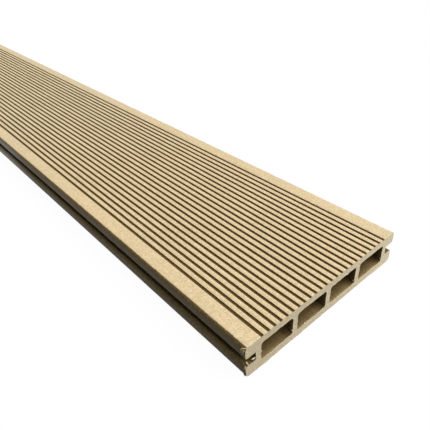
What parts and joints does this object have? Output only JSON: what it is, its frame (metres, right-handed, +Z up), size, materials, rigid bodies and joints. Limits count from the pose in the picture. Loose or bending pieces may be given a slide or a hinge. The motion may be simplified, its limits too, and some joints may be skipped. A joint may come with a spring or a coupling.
{
  "type": "decking board",
  "caption": "Straight hollow composite decking board with a fine-grooved tread face, rectangular chambers through its length and a clip slot along each long edge.",
  "frame": {"origin": "middle of the base face, half way along the board", "axes": "+X along the length, towards the end that the picture shows; +Y across the width; +Z up, out of the grooved tread face"},
  "size_m": [2.2, 0.14, 0.025],
  "materials": {
    "composite": "pale oak wood-plastic composite, sanded on the tread, dark smooth extrusion skin in the grooves, slots, chambers and sides"
  },
  "bodies": {
    "root": {"decking_board": "composite"}
  },
  "joints": []
}
